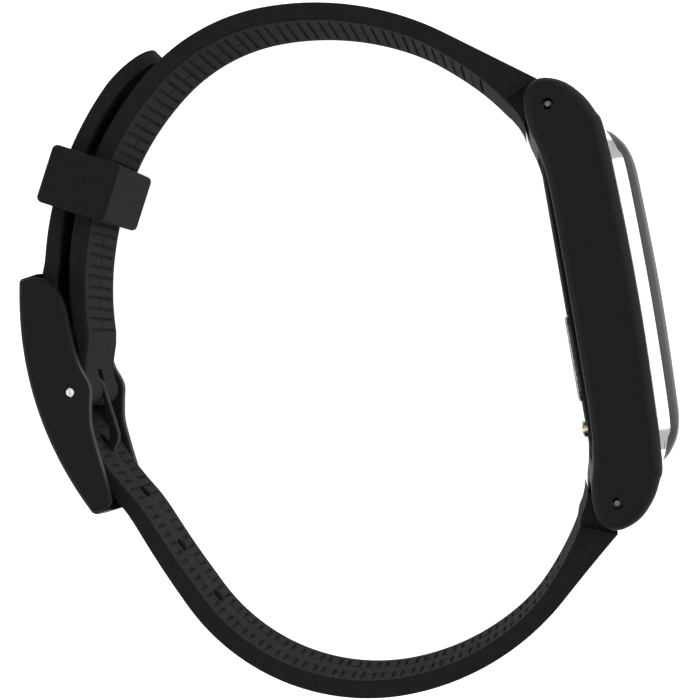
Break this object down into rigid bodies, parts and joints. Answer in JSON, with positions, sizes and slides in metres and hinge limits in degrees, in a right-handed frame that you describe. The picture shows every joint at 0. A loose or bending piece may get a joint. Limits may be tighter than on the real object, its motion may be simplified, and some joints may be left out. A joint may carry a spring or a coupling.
{
  "type": "fitness tracker band",
  "caption": "Slim tracker module with a curved glass front in a lugged cradle, worn on two curved straps that a keeper loop and a centre-bar buckle hold closed.",
  "frame": {"origin": "on the cradle's side face that the band rests on, midway between the two spring bars", "axes": "+Z along the wrist, out of the resting face; +X out of the display; +Y along the cradle, from the lower strap's lug to the upper strap's"},
  "size_m": [0.0669, 0.0745, 0.0234],
  "materials": {
    "black_rubber": "soft matte",
    "black_plastic": "satin",
    "polished_metal": "polished",
    "steel": "satin",
    "dark_glass": "gloss, dark from behind",
    "circuit_board": "solder mask",
    "tinned_metal": "tinned",
    "gold_plate": "plated",
    "battery_foil": "foil",
    "flex_film": "film",
    "led_lens": "lens"
  },
  "bodies": {
    "cradle": {"cradle_frame": "black_plastic", "upper_bar_tube": "steel", "upper_bar_spring": "steel", "lower_bar_tube": "steel", "lower_bar_spring": "steel"},
    "module": {"module_bezel": "polished_metal", "cover_glass": "dark_glass", "module_housing": "black_plastic", "module_seal": "black_rubber", "display_panel": "dark_glass", "main_board": "circuit_board", "processor_shield": "tinned_metal", "motion_sensor": "dark_glass", "battery": "battery_foil", "vibration_motor": "steel", "sensor_board": "circuit_board", "sensor_window": "dark_glass", "sensor_led_upper": "led_lens", "sensor_led_lower": "led_lens", "photodiode": "dark_glass", "charge_contact_near": "gold_plate", "charge_contact_far": "gold_plate", "display_flex": "flex_film", "sensor_flex": "flex_film"},
    "upper_strap": {"strap_upper": "black_rubber"},
    "lower_strap": {"strap_lower": "black_rubber"},
    "keeper": {"keeper_loop": "black_rubber"},
    "buckle": {"buckle_frame": "black_plastic", "buckle_pin": "steel"},
    "tongue": {"buckle_tongue": "steel"},
    "upper_tip_near": {"upper_bar_tip_near": "steel"},
    "upper_tip_far": {"upper_bar_tip_far": "steel"},
    "lower_tip_near": {"lower_bar_tip_near": "steel"},
    "lower_tip_far": {"lower_bar_tip_far": "steel"}
  },
  "joints": [
    {"name": "module_release", "type": "slide", "parent": "cradle", "child": "module", "axis": [1, 0, 0], "range_m": [0, 0.012]},
    {"name": "upper_lug_hinge", "type": "hinge", "parent": "cradle", "child": "upper_strap", "pos_m": [0, 0.0211, 0.0117], "axis": [0, 0, 1], "range_deg": [-0.08, 0.08]},
    {"name": "lower_lug_hinge", "type": "hinge", "parent": "cradle", "child": "lower_strap", "pos_m": [0, -0.0211, 0.0117], "axis": [0, 0, 1], "range_deg": [-0.08, 0.08]},
    {"name": "keeper_travel", "type": "hinge", "parent": "upper_strap", "child": "keeper", "pos_m": [-0.02102, 0.00652, 0.0117], "axis": [0, 0, 1], "range_deg": [-14, 8]},
    {"name": "buckle_rock", "type": "hinge", "parent": "upper_strap", "child": "buckle", "pos_m": [-0.05469, 0, 0.0117], "axis": [0, 0, 1], "range_deg": [-1, 1]},
    {"name": "tongue_swing", "type": "hinge", "parent": "buckle", "child": "tongue", "pos_m": [-0.05469, 0, 0.0117], "axis": [0, 0, 1], "range_deg": [0, 66]},
    {"name": "upper_tip_near_press", "type": "slide", "parent": "cradle", "child": "upper_tip_near", "axis": [0, 0, -1], "range_m": [0, 0.0024], "stiffness_N_per_m": 600, "springref_m": -0.0015, "deforming": ["upper_bar_spring"]},
    {"name": "upper_tip_far_press", "type": "slide", "parent": "cradle", "child": "upper_tip_far", "axis": [0, 0, 1], "range_m": [0, 0.0024], "stiffness_N_per_m": 600, "springref_m": -0.0015},
    {"name": "lower_tip_near_press", "type": "slide", "parent": "cradle", "child": "lower_tip_near", "axis": [0, 0, -1], "range_m": [0, 0.0024], "stiffness_N_per_m": 600, "springref_m": -0.0015, "deforming": ["lower_bar_spring"]},
    {"name": "lower_tip_far_press", "type": "slide", "parent": "cradle", "child": "lower_tip_far", "axis": [0, 0, 1], "range_m": [0, 0.0024], "stiffness_N_per_m": 600, "springref_m": -0.0015}
  ]
}
